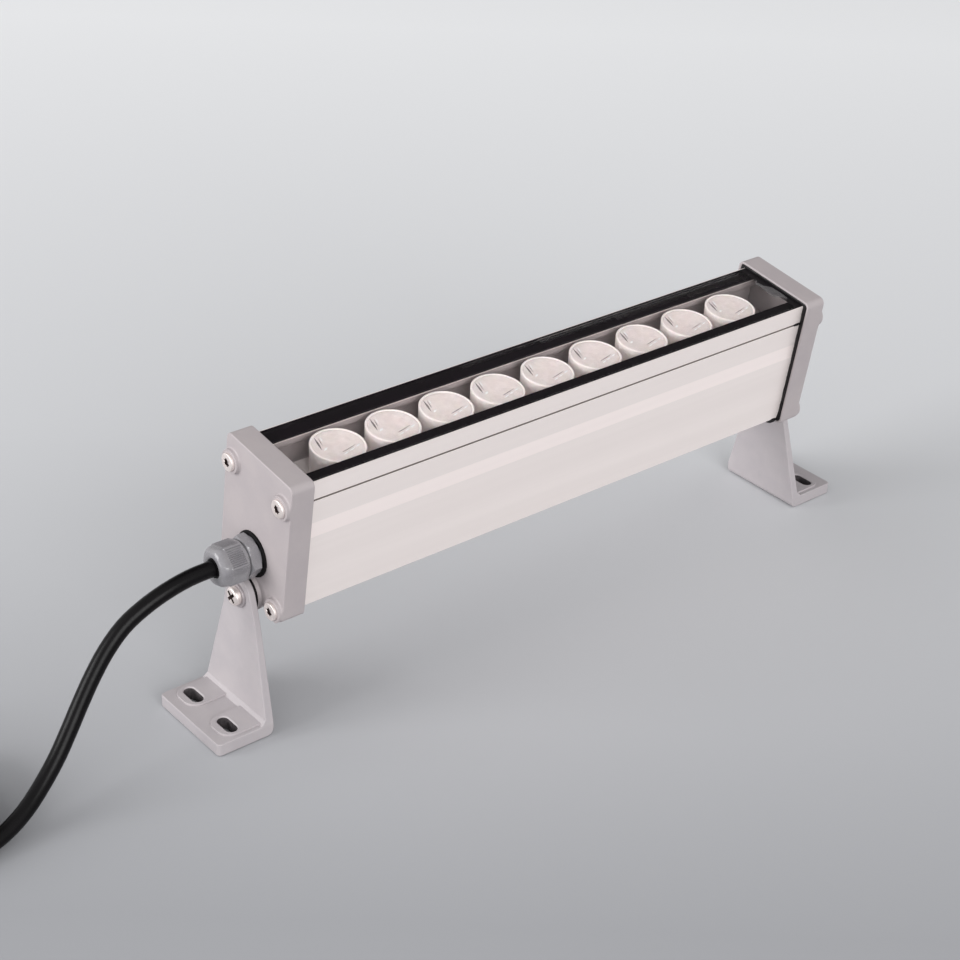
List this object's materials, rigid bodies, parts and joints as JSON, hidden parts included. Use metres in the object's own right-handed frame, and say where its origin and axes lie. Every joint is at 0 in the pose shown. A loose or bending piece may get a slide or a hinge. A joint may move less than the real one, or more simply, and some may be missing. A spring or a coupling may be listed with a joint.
{
  "type": "outdoor wall washer light",
  "caption": "Tilting outdoor wall washer light with lensed LEDs under glass between slotted foot brackets, with a cable gland and coiled lead.",
  "frame": {"origin": "centre of the four foot slots, on the surface that the bracket feet stand on", "axes": "+Y along the light from the gland end to the far end, +Z away from the mounting surface, +X to the side that the head leans to"},
  "size_m": [0.0985, 0.5378, 0.1261],
  "materials": {
    "anodised_extrusion": "fine brushed and clear anodised",
    "clear_glass": "polished tempered glass",
    "black_silicone": "satin black silicone",
    "cap_powder_coat": "satin grey powder coat on die cast metal",
    "bracket_powder_coat": "satin grey powder coat on die cast metal",
    "stainless_screw": "bright stainless steel",
    "stainless_washer": "satin stainless steel",
    "white_board": "white solder mask",
    "heat_pad": "matte silicone pad",
    "led_phosphor": "yellow phosphor under clear silicone",
    "white_cup": "white moulded polycarbonate",
    "clear_lens": "clear moulded acrylic",
    "white_connector": "white nylon",
    "black_rubber": "matte black rubber",
    "wire_insulation": "satin wire insulation",
    "driver_plastic": "matte black moulded plastic",
    "green_board": "green solder mask",
    "driver_parts": "ferrite, tape and sleeved cans",
    "splice_sleeve": "red crimp sleeve",
    "cable_jacket": "satin black rubber jacket",
    "grey_nylon": "moulded grey nylon",
    "tie_nylon": "natural nylon",
    "tinned_ferrule": "tinned copper"
  },
  "bodies": {
    "near_bracket": {"bracket_gland": "bracket_powder_coat", "supply_cable": "cable_jacket", "cable_coil": "cable_jacket", "coil_tie": "tie_nylon", "cable_cores": "wire_insulation", "core_ferrules": "tinned_ferrule"},
    "head": {"housing": "anodised_extrusion", "glass": "clear_glass", "glass_seal": "black_silicone", "end_cap_gland": "cap_powder_coat", "end_cap_far": "cap_powder_coat", "gasket_gland": "black_silicone", "gasket_far": "black_silicone", "cap_screws_gland": "stainless_screw", "cap_screws_far": "stainless_screw", "light_board": "white_board", "heat_pad": "heat_pad", "leds": "led_phosphor", "lens_cups": "white_cup", "lenses": "clear_lens", "board_screws": "stainless_screw", "board_connector": "white_connector", "lead_grommet": "black_rubber", "board_leads": "wire_insulation", "driver_case": "driver_plastic", "driver_lid": "driver_plastic", "driver_board": "green_board", "driver_parts": "driver_parts", "mains_leads": "wire_insulation", "wire_splices": "splice_sleeve", "cable_end": "cable_jacket", "gland_body": "grey_nylon", "gland_nut": "grey_nylon", "gland_insert": "black_rubber", "gland_ring": "black_rubber", "gland_locknut": "grey_nylon", "tilt_screw_gland": "stainless_screw", "tilt_screw_far": "stainless_screw", "tilt_washer_gland": "stainless_washer", "tilt_washer_far": "stainless_washer", "friction_washer_gland": "black_rubber", "friction_washer_far": "black_rubber"},
    "far_bracket": {"bracket_far": "bracket_powder_coat"}
  },
  "joints": [
    {"name": "head_tilt", "type": "hinge", "parent": "near_bracket", "child": "head", "pos_m": [0, -0.1553, 0.0578], "axis": [0, 1, 0], "range_deg": [-92.8, 77.2], "deforming": ["supply_cable"]},
    {"name": "far_bracket_tilt", "type": "hinge", "parent": "head", "child": "far_bracket", "pos_m": [0, 0.1553, 0.0578], "axis": [0, 1, 0], "range_deg": [-77.2, 92.8]}
  ],
  "couplings": [
    {"joint": "far_bracket_tilt", "follows": "head_tilt", "ratio": -1}
  ]
}
